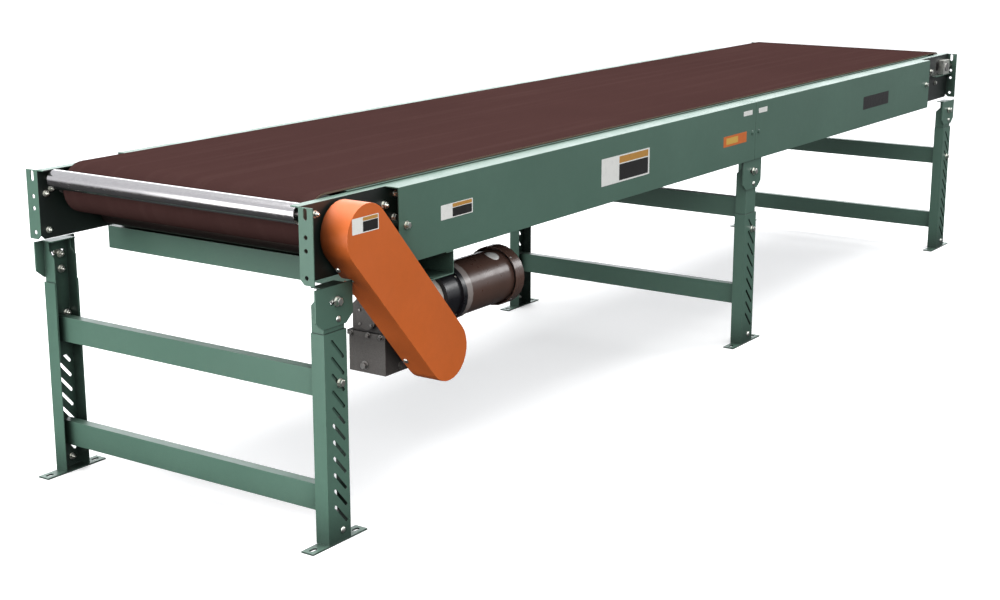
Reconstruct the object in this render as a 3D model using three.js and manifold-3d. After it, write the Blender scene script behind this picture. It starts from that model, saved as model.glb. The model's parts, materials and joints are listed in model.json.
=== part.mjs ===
// Slider-bed belt conveyor section: two bed sections on three height-adjustable stands,
// an end drive with a chain, gearbox and motor, and a tail pulley on a screw take-up.
// Millimetres. Model axes: +X from the drive end to the tail, +Y across the belt from the
// guard side (left) to the far side (right), +Z up. The finished group is centred on its
// own outer box and stands on Z = 0.
import * as THREE from 'three';
import { mergeVertices } from 'three/addons/utils/BufferGeometryUtils.js';
import Module from 'manifold-3d';

const wasm = await Module();
wasm.setup();

// ---------------------------------------------------------------- driving dimensions
const LENGTH = 3985; // end flange to end flange
const WIDTH = 914; // outside of one side rail to the outside of the other
const RAIL_TOP = 790; // top of the side rails above the floor
const RAIL_DEPTH = 184;
const BED_JOINT = 2154; // where the two bed sections meet
const BELT_WIDTH = 782;
const BELT_THICKNESS = 5;
const STANDS = { // leg centre along X, top of the lower leg, undersides of the two cross braces
  drive: { x: 70, legTop: 500, lowerBrace: 72, upperBrace: 346 },
  centre: { x: 2148, legTop: 432, lowerBrace: 131, upperBrace: 418 },
  tail: { x: 3930, legTop: 500, lowerBrace: 84, upperBrace: 350 },
};
const GUARD_DEPTH = 46; // how far the chain guard stands out of the rail face

const SHEET = 3; // formed steel gauge
const CLEARANCE = 0.3; // between pieces that touch
const ROUND = 20; // sides of a turned piece

// Side rails and bed
const RAIL_BOTTOM = RAIL_TOP - RAIL_DEPTH;
const TOP_FLANGE = 76;
const BOTTOM_FLANGE = 38;
const RAIL_START = 302;
const RAIL_END = LENGTH - RAIL_START;
const PAN_EDGE = 60; // edge of the bed pan from the rail face
const PAN_TOP = RAIL_TOP + CLEARANCE + SHEET;
const PAN_LIP = 30;

// End brackets
const BRACKET_TOP = RAIL_TOP - 1;
const BRACKET_BOTTOM = RAIL_TOP - 174;
const RECESS = 37; // how far the bracket web sits inside the rail face
const BRACKET_STEP = 362; // where the bracket steps out behind the rail web
const BRACKET_TAB = 60; // length held behind the rail web
const RAIL_BOLT = { x: 331, z: 698, shank: 5, head: 7.5, proud: 9.3, sides: 6, spacer: 10 };
const SPLICE_BOLT = { fromJoint: 22, z: 695, shank: 4, head: 5.5, proud: 3, sides: 12 };
const FLANGE_HOLES = { y: 21, radius: 5.5, round: [723, 693, 633], slot: [766, 782] };
const BRACKET_LEDGE = 62; // inner edge of the bracket's top flange
const ROLLER_START = RECESS + SHEET; // inner face of the bracket webs

// Belt path
const BELT_EDGE = (WIDTH - BELT_WIDTH) / 2;
const BELT_HALF = BELT_THICKNESS / 2;
const BELT_GAP = 0.7; // under the carrying run, so that it slides clear of the pan
const TOP_RUN = PAN_TOP + BELT_GAP + BELT_HALF; // centre line of the carrying run
const DRIVE_RADIUS = 58.5;
const TAIL_RADIUS = 50.8;
const SNUB_RADIUS = 31.75;
const ROLLER_RADIUS = 24.15;
const wrap = (radius) => radius + CLEARANCE + BELT_HALF; // belt centre line on a pulley
const DRIVE = { x: 119, z: TOP_RUN - wrap(DRIVE_RADIUS) };
const TAIL = { x: LENGTH - 72, z: TOP_RUN - wrap(TAIL_RADIUS) };
const RETURN_RUN = TAIL.z - wrap(TAIL_RADIUS);
const SNUB = { x: 218, z: RETURN_RUN - wrap(SNUB_RADIUS) };
const RETURN = { x: 2450, z: RETURN_RUN - wrap(ROLLER_RADIUS) };
const NOSE = { x: 33, z: 765 };
const DRUM_START = 63; // end of the pulley faces from the rail face
const SHAFT_RADIUS = 17.5;
const AXLE_RADIUS = 5.5;
const SCREW_RADIUS = 6;

// Drive
const CHAIN_PLANE = -24; // middle of the chain, outside the rail face
const OUTPUT = { x: 430, z: 380 }; // gearbox output shaft
const SPROCKET_RADIUS = 28;
const CHAIN_HEIGHT = 10;
const CHAIN_WIDTH = 12;
const GUARD_RADIUS = 74;
const GUARD_UPPER = { x: 133, z: 712 };
const GUARD_SHEET = 2;
const BASE = { start: 254, end: 516, depth: 59, lip: 30 };
const BASE_BOTTOM = RAIL_BOTTOM - BASE.depth;
const GEARBOX = { start: 343, end: 520, near: 79, far: 190, bottom: 316, split: 412, top: 503 };
const ADAPTER = { collar: 557, start: 579, flange: 640 };
const MOTOR = { y: 134, z: 455, bell: 658, start: 688, end: 880, radius: 71.5 };
const FAN_COVER = { start: 870, end: 916, radius: 80 };

// Stands
const LEG_WIDTH = 78;
const LEG_SHEET = 2.7;
const LEG_FACE = 3; // outer face of a leg from the rail face
const LEG_EDGE = 41; // open edge of a leg's flanges from the rail face
const LEG_GAP = 0.4; // between the sliding legs
const LOWER_LEG_INNER = LEG_FACE + LEG_SHEET;
const UPPER_LEG_INNER = LOWER_LEG_INNER + LEG_GAP + LEG_SHEET;
const UPPER_LEG_BOTTOM = 300;
const FOOT = { length: 194, start: 1.5, end: 37, thickness: 4 };
const SADDLE = { width: 128, bottom: 512, taperTop: 532 };
const SLOT = { pitch: 39, belowTop: 41, last: 60, length: 65, width: 8, lean: -0.85, offset: 6 };
const NOTCH = { edge: 24, square: 580, taper: 558 }; // cut out of the upper leg's flanges
const TILT_SLOT = { offset: 6, pivot: 526, inner: 38, outer: 50, halfAngle: 25 };
const ANCHOR = { reach: 76, length: 24, width: 11 };
const BRACE = { height: 64, depth: 27, front: -17, sheet: 2.5 };

// ---------------------------------------------------------------- solids
function toSolid(geometry) {
  const bare = geometry.clone();
  bare.deleteAttribute('normal');
  bare.deleteAttribute('uv');
  const merged = mergeVertices(bare, 1e-4);
  return new wasm.Manifold(new wasm.Mesh({
    numProp: 3,
    vertProperties: new Float32Array(merged.attributes.position.array),
    triVerts: new Uint32Array(merged.index.array),
  }));
}

function toGeometry(solid) {
  const mesh = solid.getMesh();
  const geometry = new THREE.BufferGeometry();
  geometry.setAttribute('position', new THREE.BufferAttribute(mesh.vertProperties, 3));
  geometry.setIndex(new THREE.BufferAttribute(mesh.triVerts, 1));
  return geometry;
}

function join(...pieces) {
  return toGeometry(pieces.map(toSolid).reduce((all, piece) => all.add(piece)));
}

function cut(body, ...tools) {
  return toGeometry(tools.map(toSolid).reduce((rest, tool) => rest.subtract(tool), toSolid(body)));
}

// A box between two limits along each axis.
function block([x0, x1], [y0, y1], [z0, z1]) {
  const box = new THREE.BoxGeometry(x1 - x0, y1 - y0, z1 - z0);
  return box.translate((x0 + x1) / 2, (y0 + y1) / 2, (z0 + z1) / 2);
}

function outline(points) {
  return new THREE.Shape(points.map(([a, b]) => new THREE.Vector2(a, b)));
}

// A flat outline in X and Z, given thickness along Y.
function plateXZ(points, [y0, y1]) {
  const body = new THREE.ExtrudeGeometry(outline(points), { depth: y1 - y0, bevelEnabled: false });
  return body.rotateX(Math.PI / 2).translate(0, y1, 0);
}

// An outline in Y and Z, drawn out along X.
function barX(points, [x0, x1]) {
  const body = new THREE.ExtrudeGeometry(outline(points), { depth: x1 - x0, bevelEnabled: false });
  body.applyMatrix4(new THREE.Matrix4().set(0, 0, 1, 0, 1, 0, 0, 0, 0, 1, 0, 0, 0, 0, 0, 1));
  return body.translate(x0, 0, 0);
}

// An outline in X and Y, drawn upwards.
function postZ(points, [z0, z1]) {
  const body = new THREE.ExtrudeGeometry(outline(points), { depth: z1 - z0, bevelEnabled: false });
  return body.translate(0, 0, z0);
}

// A turned piece across the belt: a closed profile of [radius, y] about a centre.
function turnedY(profile, { x, z }, sides = ROUND) {
  const points = [...profile, profile[0]].map(([radius, y]) => new THREE.Vector2(radius, y));
  return new THREE.LatheGeometry(points, sides).translate(x, 0, z);
}

// A turned piece along X: a closed profile of [radius, x] about a centre line.
function turnedX(profile, { y, z }, sides = ROUND) {
  const points = [...profile, profile[0]].map(([radius, x]) => new THREE.Vector2(radius, x));
  return new THREE.LatheGeometry(points, sides).rotateZ(-Math.PI / 2).translate(0, y, z);
}

function rodY(radius, [y0, y1], centre, sides = ROUND) {
  return turnedY([[0, y0], [radius, y0], [radius, y1], [0, y1]], centre, sides);
}

function rodX(radius, [x0, x1], centre, sides = ROUND) {
  return turnedX([[0, x0], [radius, x0], [radius, x1], [0, x1]], centre, sides);
}

// A channel section: web along the first axis from a to b, both flanges towards +second.
function channel([a, b], [web, firstFlange, secondFlange = firstFlange], sheet) {
  return [
    [a, web], [b, web], [b, secondFlange], [b - sheet, secondFlange],
    [b - sheet, web + sheet], [a + sheet, web + sheet], [a + sheet, firstFlange], [a, firstFlange],
  ];
}

const swapped = (points) => points.map(([a, b]) => [b, a]).reverse();

function reflected(geometry, axis, span) {
  const plain = toGeometry(toSolid(geometry));
  const place = plain.attributes.position;
  const corners = plain.index;
  for (let i = 0; i < place.count; i += 1) {
    place.setComponent(i, axis, span - place.getComponent(i, axis));
  }
  for (let i = 0; i < corners.count; i += 3) {
    const first = corners.getX(i);
    corners.setX(i, corners.getX(i + 1));
    corners.setX(i + 1, first);
  }
  return plain;
}

const toRightSide = (geometry) => reflected(geometry, 1, WIDTH);
const toTailEnd = (geometry) => reflected(geometry, 0, LENGTH);

// ---------------------------------------------------------------- finishes
const FINISHES = {
  green: { color: 0x54705f, roughness: 0.45, metalness: 0.2 },
  orange: { color: 0xc25c32, roughness: 0.4, metalness: 0.1 },
  chrome: { color: 0xd8d8dc, roughness: 0.12, metalness: 1.0 },
  zinc: { color: 0xc8ccc4, roughness: 0.35, metalness: 0.9 },
  steel: { color: 0x8b8c8e, roughness: 0.3, metalness: 1.0 },
  casting: { color: 0x48484a, roughness: 0.6, metalness: 0.3 },
  motor: { color: 0x5a443c, roughness: 0.4, metalness: 0.2 },
  black: { color: 0x17181a, roughness: 0.5, metalness: 0.2 },
  belt: { color: 0x4a302f, roughness: 0.7, metalness: 0.0 },
};

const section = new THREE.Group();

function addPart(name, finish, geometry) {
  const mesh = new THREE.Mesh(geometry, new THREE.MeshStandardMaterial(FINISHES[finish]));
  mesh.name = name;
  section.add(mesh);
}

function addPair(name, finish, leftGeometry) {
  addPart(`${name}_left`, finish, leftGeometry);
  addPart(`${name}_right`, finish, toRightSide(leftGeometry));
}

// ---------------------------------------------------------------- bed
function sideRail(span, endBoltX, spliceBoltX) {
  const profile = channel([RAIL_BOTTOM, RAIL_TOP], [0, BOTTOM_FLANGE, TOP_FLANGE], SHEET);
  const hole = ({ shank, z }, x) => rodY(shank + CLEARANCE, [-1, SHEET + 1], { x, z }, 12);
  return cut(barX(swapped(profile), span), hole(RAIL_BOLT, endBoltX), hole(SPLICE_BOLT, spliceBoltX));
}

// A bolt through the rail web, from its head on the outer face to a depth inside.
function railBolt({ shank, head, proud, sides, z }, x, depth) {
  const underHead = -CLEARANCE;
  return join(rodY(shank, [underHead - 1, depth], { x, z }, 12),
    rodY(head, [-proud, underHead], { x, z }, sides));
}

function bedPan(span) {
  const lipFace = TOP_FLANGE + 1;
  const far = WIDTH - PAN_EDGE;
  const under = PAN_TOP - SHEET;
  const lipBottom = under - PAN_LIP;
  return barX([
    [PAN_EDGE, PAN_TOP], [PAN_EDGE, under], [lipFace, under], [lipFace, lipBottom],
    [lipFace + SHEET, lipBottom], [lipFace + SHEET, under],
    [WIDTH - lipFace - SHEET, under], [WIDTH - lipFace - SHEET, lipBottom],
    [WIDTH - lipFace, lipBottom], [WIDTH - lipFace, under], [far, under], [far, PAN_TOP],
  ], span);
}

// The plate behind the bed joint, with the bolt that holds it to each rail.
function splicePlate() {
  const halfLength = 90;
  const face = SHEET + CLEARANCE;
  const margin = 14;
  const plate = block([BED_JOINT - halfLength, BED_JOINT + halfLength], [face, face + SHEET],
    [RAIL_BOTTOM + margin, RAIL_TOP - margin]);
  const boltX = [-1, 1].map((side) => BED_JOINT + side * SPLICE_BOLT.fromJoint);
  return join(plate, ...boltX.map((x) => railBolt(SPLICE_BOLT, x, face + 1)));
}

// The plate that closes a bed end: an outward flange across the end, a recessed web, a top
// ledge beside the belt, and a tab that steps out behind the side rail. A bolt through the
// rail's end holds the web on a round spacer.
function endBracket() {
  const tabFace = SHEET + CLEARANCE;
  const stepEnd = BRACKET_STEP + SHEET;
  const inRail = [BRACKET_BOTTOM, RAIL_TOP - SHEET - 1];
  const corner = 12;
  const overlap = 20;
  const flange = [
    [0, BRACKET_TOP], [0, BRACKET_BOTTOM], [RECESS + SHEET - corner, BRACKET_BOTTOM],
    [RECESS + SHEET, BRACKET_BOTTOM + corner], [RECESS + SHEET, BRACKET_TOP],
  ];
  const web = [
    [0, BRACKET_TOP], [0, BRACKET_BOTTOM + corner], [corner, BRACKET_BOTTOM],
    [RAIL_START - 1, BRACKET_BOTTOM], [RAIL_START - 1, BRACKET_TOP],
  ];
  return join(
    barX(flange, [0, SHEET]),
    plateXZ(web, [RECESS, RECESS + SHEET]),
    block([0, RAIL_START - 1], [RECESS, BRACKET_LEDGE], [RAIL_TOP - SHEET, RAIL_TOP]),
    block([RAIL_START - overlap, stepEnd], [RECESS, RECESS + SHEET], inRail),
    block([BRACKET_STEP, stepEnd], [tabFace, RECESS + SHEET], inRail),
    block([BRACKET_STEP, stepEnd + BRACKET_TAB], [tabFace, tabFace + SHEET], inRail),
    rodY(RAIL_BOLT.spacer, [tabFace, RECESS + 1], RAIL_BOLT, 16),
    railBolt(RAIL_BOLT, RAIL_BOLT.x, tabFace + 1),
  );
}

// Holes down the end flange: a slot above three round bolt holes.
function flangeHoles() {
  const { y, radius, round, slot } = FLANGE_HOLES;
  const through = [-1, SHEET + 1];
  const hole = (z) => rodX(radius, through, { y, z }, 12);
  const slotMiddle = block(through, [y - radius, y + radius], slot);
  return [...round.map(hole), join(...slot.map(hole), slotMiddle)];
}

function driveEndBracket() {
  const throughWeb = [RECESS - 5, RECESS + SHEET + 5];
  return cut(endBracket(), ...flangeHoles(),
    rodY(SHAFT_RADIUS + 6, throughWeb, DRIVE),
    rodY(AXLE_RADIUS + CLEARANCE, throughWeb, NOSE, 12),
    rodY(AXLE_RADIUS + CLEARANCE, throughWeb, SNUB, 12));
}

const TAKEUP = { travel: 40, halfLength: 32, halfHeight: 28, face: 15, lip: 20, screwY: 26 };

// The tail bracket has a window that the tail shaft slides along, and a guide lip below it.
function tailEndBracket() {
  const fromEnd = LENGTH - TAIL.x; // the bracket is drawn at the drive end and reflected
  const windowHalf = SHAFT_RADIUS + 4;
  const lipTop = TAIL.z - TAKEUP.halfHeight - 1;
  const body = join(endBracket(),
    block([SHEET, fromEnd + TAKEUP.travel + 70], [RECESS - TAKEUP.lip, RECESS + 1],
      [lipTop - SHEET, lipTop]));
  const screwHole = rodX(SCREW_RADIUS + 1.5, [-1, SHEET + 1], { y: TAKEUP.screwY, z: TAIL.z }, 12);
  const drawn = cut(body, ...flangeHoles(), screwHole,
    block([fromEnd - windowHalf, fromEnd + windowHalf + TAKEUP.travel],
      [RECESS - 5, RECESS + SHEET + 5], [TAIL.z - windowHalf, TAIL.z + windowHalf]));
  return toTailEnd(drawn);
}

// ---------------------------------------------------------------- belt, pulleys and rollers
// Points round part of a circle from one angle to another, in degrees.
function arc({ x, z }, radius, fromAngle, toAngle, steps) {
  return Array.from({ length: steps + 1 }, (_, i) => {
    const angle = THREE.MathUtils.degToRad(fromAngle + (toAngle - fromAngle) * i / steps);
    return [x + radius * Math.cos(angle), z + radius * Math.sin(angle)];
  });
}

// The belt loop at a distance outside (+) or inside (-) its centre line. It leaves the drive
// pulley on a cross tangent that passes over the snub roller.
function beltLoop(offset) {
  const driveWrap = wrap(DRIVE_RADIUS);
  const snubWrap = wrap(SNUB_RADIUS);
  const dx = SNUB.x - DRIVE.x;
  const dz = SNUB.z - DRIVE.z;
  const toSnub = THREE.MathUtils.radToDeg(Math.atan2(dz, dx));
  const opening = THREE.MathUtils.radToDeg(Math.acos((driveWrap + snubWrap) / Math.hypot(dx, dz)));
  const leave = toSnub - opening; // where the belt leaves the drive pulley
  return [
    ...arc(TAIL, wrap(TAIL_RADIUS) + offset, 90, -90, 16),
    ...arc(SNUB, snubWrap - offset, 90, leave + 180, 5),
    ...arc(DRIVE, driveWrap + offset, leave, -270, 20),
  ];
}

function conveyorBelt() {
  const outer = plateXZ(beltLoop(BELT_HALF), [BELT_EDGE, WIDTH - BELT_EDGE]);
  const inner = plateXZ(beltLoop(-BELT_HALF), [BELT_EDGE - 1, WIDTH - BELT_EDGE + 1]);
  return cut(outer, inner);
}

// A hollow drum with an end disc at each end, bored for its shaft.
function drum({ radius, wall, disc, bore, centre, ends: [y0, y1], sides = 24 }) {
  const inside = radius - wall;
  return turnedY([
    [radius, y0], [radius, y1], [bore, y1], [bore, y1 - disc], [inside, y1 - disc],
    [inside, y0 + disc], [bore, y0 + disc], [bore, y0],
  ], centre, sides);
}

const drumEnds = [DRUM_START, WIDTH - DRUM_START];

function beltPulley(radius, centre) {
  return drum({ radius, wall: 7, disc: 10, bore: SHAFT_RADIUS + CLEARANCE, centre, ends: drumEnds });
}

function idler(radius, centre, ends) {
  return drum({ radius, wall: 2.5, disc: 14, bore: AXLE_RADIUS + CLEARANCE, centre, ends, sides: ROUND });
}

function idlerAxle(centre, inset) {
  return rodY(AXLE_RADIUS, [inset, WIDTH - inset], centre, 12);
}

// Two-bolt flange bearing on the inner face of the bracket web.
function flangeBearing() {
  const start = ROLLER_START + CLEARANCE;
  const reach = 42; // bolt centre from the shaft
  const ear = 13;
  const plate = [start, start + 9];
  const ears = [-reach, reach].map((x) => rodY(ear, plate, { x: DRIVE.x + x, z: DRIVE.z }, 16));
  const body = join(rodY(34, plate, DRIVE), rodY(28, [start, DRUM_START - 2], DRIVE),
    block([DRIVE.x - reach, DRIVE.x + reach], plate, [DRIVE.z - ear, DRIVE.z + ear]), ...ears);
  return cut(body, rodY(SHAFT_RADIUS + CLEARANCE, [start - 1, DRUM_START], DRIVE));
}

function takeupBlock() {
  const body = block([TAIL.x - TAKEUP.halfLength, TAIL.x + TAKEUP.halfLength],
    [TAKEUP.face, RECESS - CLEARANCE], [TAIL.z - TAKEUP.halfHeight, TAIL.z + TAKEUP.halfHeight]);
  return cut(body, rodY(SHAFT_RADIUS + CLEARANCE, [0, RECESS + 5], TAIL));
}

// Adjusting screw through the end flange, against the take-up block, with its nut.
function takeupScrew() {
  const start = TAIL.x + TAKEUP.halfLength + CLEARANCE;
  const centre = { y: TAKEUP.screwY, z: TAIL.z };
  const nutStart = LENGTH + CLEARANCE;
  return join(rodX(SCREW_RADIUS, [start, nutStart + 24], centre, 12),
    rodX(11, [nutStart, nutStart + 9], centre, 6));
}

// ---------------------------------------------------------------- drive
// A track-shaped outline: two half circles joined by straight sides.
function stadium(upper, lower, radius, steps) {
  const heading = THREE.MathUtils.radToDeg(Math.atan2(lower.z - upper.z, lower.x - upper.x));
  return [
    ...arc(lower, radius, heading - 90, heading + 90, steps),
    ...arc(upper, radius, heading + 90, heading + 270, steps),
  ];
}

// The guard reaches into the bracket recess and is cut away round the rail, base and leg.
const GUARD_BACK = 30; // rear edge inside the rail face
const BEYOND = 600; // a cutting block reaches well past the piece it cuts

function guardCover() {
  const outer = plateXZ(stadium(GUARD_UPPER, OUTPUT, GUARD_RADIUS, 14), [-GUARD_DEPTH, GUARD_BACK]);
  const hollow = plateXZ(stadium(GUARD_UPPER, OUTPUT, GUARD_RADIUS - GUARD_SHEET, 14),
    [GUARD_SHEET - GUARD_DEPTH, RECESS]);
  const behind = [-1.5, RECESS];
  const railCorner = block([RAIL_START - 2, BEYOND], behind, [RAIL_BOTTOM - 2, RAIL_TOP]);
  const baseCorner = block([BASE.start - 2, BEYOND], behind, [BASE_BOTTOM - 2, RAIL_BOTTOM]);
  const saddleEdge = STANDS.drive.x + SADDLE.width / 2 + 2;
  const saddleCorner = block([0, saddleEdge], behind, [SADDLE.bottom - 2, RAIL_BOTTOM + 2]);
  return cut(outer, hollow, railCorner, baseCorner, saddleCorner);
}

// Closes the rear of the guard below the drive base.
function guardBack() {
  const thickness = [GUARD_BACK - 4, GUARD_BACK - 2];
  const plate = plateXZ(stadium(GUARD_UPPER, OUTPUT, GUARD_RADIUS - GUARD_SHEET - 1, 14), thickness);
  const above = block([0, BEYOND], [0, RECESS], [BASE_BOTTOM - 4, BEYOND + RAIL_TOP]);
  return cut(plate, above, rodY(24, [0, RECESS], OUTPUT));
}

// A sprocket with a hub, keyed on a shaft.
function sprocket(centre, bore) {
  const teeth = 13;
  const points = Array.from({ length: teeth * 2 }, (_, i) => {
    const angle = Math.PI * i / teeth;
    const radius = i % 2 ? SPROCKET_RADIUS - 5 : SPROCKET_RADIUS;
    return [centre.x + radius * Math.cos(angle), centre.z + radius * Math.sin(angle)];
  });
  const body = join(plateXZ(points, [CHAIN_PLANE - 4, CHAIN_PLANE + 4]),
    rodY(bore + 5, [CHAIN_PLANE - 12, CHAIN_PLANE + 12], centre, 16));
  return cut(body, rodY(bore + CLEARANCE, [CHAIN_PLANE - 20, CHAIN_PLANE + 20], centre));
}

function driveChain() {
  const inner = SPROCKET_RADIUS + 0.5;
  const span = [CHAIN_PLANE - CHAIN_WIDTH / 2, CHAIN_PLANE + CHAIN_WIDTH / 2];
  return cut(plateXZ(stadium(DRIVE, OUTPUT, inner + CHAIN_HEIGHT, 10), span),
    plateXZ(stadium(DRIVE, OUTPUT, inner, 10), [span[0] - 1, span[1] + 1]));
}

const NOSE_OUT = CHAIN_PLANE - 14; // outer end of the sprocket shafts

function driveShaft() {
  const turnedDown = 12.5; // the sprocket seat
  const seatStart = RECESS - 6;
  const end = WIDTH - RECESS + 4;
  return turnedY([[0, NOSE_OUT], [turnedDown, NOSE_OUT], [turnedDown, seatStart],
    [SHAFT_RADIUS, seatStart], [SHAFT_RADIUS, end], [0, end]], DRIVE);
}

function tailShaft() {
  return rodY(SHAFT_RADIUS, [TAKEUP.face - 2, WIDTH - TAKEUP.face + 2], TAIL);
}

// Tray under the rails that carries the gearbox and motor.
function driveBase() {
  const top = RAIL_BOTTOM - CLEARANCE;
  const profile = [
    [BASE.start, BASE_BOTTOM], [BASE.end, BASE_BOTTOM], [BASE.end, top],
    [BASE.end - BASE.lip, top], [BASE.end - BASE.lip, top - SHEET], [BASE.end - SHEET, top - SHEET],
    [BASE.end - SHEET, BASE_BOTTOM + SHEET], [BASE.start + SHEET, BASE_BOTTOM + SHEET],
    [BASE.start + SHEET, top - SHEET], [BASE.start + BASE.lip, top - SHEET],
    [BASE.start + BASE.lip, top], [BASE.start, top],
  ];
  return plateXZ(profile, [0, WIDTH]);
}

// Worm gearbox: wheel case below the split line, worm case above it with sloping shoulders,
// a bearing cap at its closed end and an input neck at the motor end.
function gearboxHousing() {
  const { start, end, near, far, bottom, split, top } = GEARBOX;
  const shoulder = 22;
  const wormCase = [
    [near + 6, split], [far - 6, split], [far - 6, top - shoulder], [far - 6 - shoulder, top],
    [near + 6 + shoulder, top], [near + 6, top - shoulder],
  ];
  const flange = 6; // half the thickness of the split flange
  const neckEnd = ADAPTER.collar - 1;
  const body = join(
    block([start, end], [near, far], [bottom, split - flange]),
    block([start - 3, end + 3], [near - 3, far + 3], [split - flange, split + flange]),
    barX(wormCase, [start + 8, end - 8]),
    rodX(30, [start - 4, start + 20], MOTOR), // bearing cap
    rodX(46, [end - 20, neckEnd], MOTOR), // input neck
    rodY(38, [near - 14, far - 10], OUTPUT), // output boss
  );
  const outputBore = rodY(16.5, [near - 20, near + 50], OUTPUT);
  const inputBore = rodX(16, [neckEnd - 40, neckEnd + 1], MOTOR);
  return cut(body, outputBore, inputBore);
}

// Channel-shaped bracket between the gearbox and the drive base.
function gearboxMount() {
  const { start, end, near, far, top } = GEARBOX;
  const margin = 10; // past each side of the gearbox
  const rise = [top + CLEARANCE, BASE_BOTTOM - CLEARANCE];
  const profile = channel([near - margin, far + margin], [rise[0], rise[1]], 6);
  return barX(profile, [start + 4, end - 4]);
}

function outputShaft() {
  return rodY(12.5, [NOSE_OUT, GEARBOX.near + 40], OUTPUT);
}

// Bare collar against the gearbox, then the coupling housing and the flange bolted to the motor.
function motorAdapter() {
  const { collar, start, flange } = ADAPTER;
  const bore = 12;
  const end = MOTOR.bell - 1;
  return turnedX([
    [bore, collar], [58, collar], [58, start], [70, start], [70, flange], [76, flange],
    [76, end], [bore, end],
  ], MOTOR, 24);
}

// Motor frame with a raised bell at the drive end and end walls, bored for the rotor.
function motorFrame() {
  const { bell, start, end, radius } = MOTOR;
  const wall = 14;
  const stator = 40;
  const bore = 9;
  return turnedX([
    [bore, bell], [radius + 2.5, bell], [radius + 2.5, start - 3], [radius, start],
    [radius, end - 6], [radius - 6, end], [bore, end],
    [bore, end - wall], [stator, end - wall], [stator, bell + wall], [bore, bell + wall],
  ], MOTOR, 24);
}

// Shaft, rotor core and cooling fan turn as one piece.
function motorRotor() {
  const { bell, end } = MOTOR;
  const shaft = 8;
  const core = 38;
  const fan = { radius: 64, start: end + 8, end: end + 24 };
  return turnedX([
    [0, ADAPTER.collar + 10], [shaft, ADAPTER.collar + 10], [shaft, bell + 20], [core, bell + 20],
    [core, end - 20], [shaft, end - 20], [shaft, fan.start], [fan.radius, fan.start],
    [fan.radius, fan.end], [0, fan.end],
  ], MOTOR, ROUND);
}

function fanCover() {
  const { start, end, radius } = FAN_COVER;
  const sheet = 2.5;
  const vent = 20;
  return turnedX([
    [radius - sheet, start], [radius, start], [radius, end - 8], [radius - 8, end], [vent, end],
    [vent, end - sheet], [radius - 9, end - sheet], [radius - sheet, end - 9],
  ], MOTOR, 24);
}

// ---------------------------------------------------------------- stands
// Inner leg, fixed to the bed through a saddle plate with a slotted tilt hole. Its flanges
// are cut back near the top.
function upperLeg(x) {
  const half = LEG_WIDTH / 2 - LEG_SHEET - LEG_GAP;
  const web = LOWER_LEG_INNER + LEG_GAP;
  const top = RAIL_BOTTOM - CLEARANCE;
  const saddleHalf = SADDLE.width / 2;
  const legHalf = LEG_WIDTH / 2;
  const saddle = [
    [x - saddleHalf, top], [x - saddleHalf, SADDLE.taperTop], [x - legHalf, SADDLE.bottom],
    [x + legHalf, SADDLE.bottom], [x + saddleHalf, SADDLE.taperTop], [x + saddleHalf, top],
  ];
  const channelTop = top - SHEET;
  const body = join(
    postZ(channel([x - half, x + half], [web, LEG_EDGE], LEG_SHEET), [UPPER_LEG_BOTTOM, channelTop + 1]),
    plateXZ(saddle, [LEG_FACE, web + 1]),
    block([x - legHalf, x + legHalf], [LEG_FACE, BOTTOM_FLANGE], [channelTop, top]),
  );
  const pastEdge = LEG_EDGE + 5;
  const notch = barX([[NOTCH.edge, channelTop], [NOTCH.edge, NOTCH.square], [pastEdge, NOTCH.taper],
    [pastEdge, channelTop]], [x - LEG_WIDTH, x + LEG_WIDTH]);
  const { offset, pivot, inner, outer, halfAngle } = TILT_SLOT;
  const centre = { x: x + offset, z: pivot };
  const tiltSlot = plateXZ([...arc(centre, inner, 90 + halfAngle, 90 - halfAngle, 6),
    ...arc(centre, outer, 90 - halfAngle, 90 + halfAngle, 6)], [0, web + LEG_SHEET + 1]);
  return cut(body, notch, tiltSlot);
}

// Outer leg with leaning adjustment slots, on a slotted floor plate.
function lowerLeg(x, top) {
  const half = LEG_WIDTH / 2;
  const footTop = FOOT.thickness;
  const body = join(
    postZ(channel([x - half, x + half], [LEG_FACE, LEG_EDGE], LEG_SHEET), [footTop - 1, top]),
    block([x - FOOT.length / 2, x + FOOT.length / 2], [FOOT.start, FOOT.end], [0, footTop]),
  );
  const firstSlot = top - SLOT.belowTop;
  const slotCount = Math.floor((firstSlot - SLOT.last) / SLOT.pitch) + 1;
  const slots = Array.from({ length: slotCount }, (_, i) => {
    const hole = plateXZ(capsule(SLOT.length, SLOT.width), [-2, LEG_FACE + LEG_SHEET + 2]);
    hole.rotateY(-SLOT.lean);
    return hole.translate(x + SLOT.offset, 0, firstSlot - i * SLOT.pitch);
  });
  const anchors = [-1, 1].map((side) => {
    const hole = postZ(capsule(ANCHOR.length, ANCHOR.width), [-2, footTop + 2]);
    return hole.translate(x + side * ANCHOR.reach, (FOOT.start + FOOT.end) / 2, 0);
  });
  return cut(body, ...slots, ...anchors);
}

// A slotted-hole outline about its own centre, along the first axis.
function capsule(length, width) {
  const radius = width / 2;
  const reach = length / 2 - radius;
  return [...arc({ x: reach, z: 0 }, radius, -90, 90, 3), ...arc({ x: -reach, z: 0 }, radius, 90, 270, 3)];
}

// A channel between the webs of a left and a right leg.
function crossBrace(x, bottom, legInner) {
  const front = x + BRACE.front;
  const inset = legInner + CLEARANCE;
  const profile = channel([bottom, bottom + BRACE.height], [front, front + BRACE.depth], BRACE.sheet);
  return plateXZ(swapped(profile), [inset, WIDTH - inset]);
}

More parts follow.
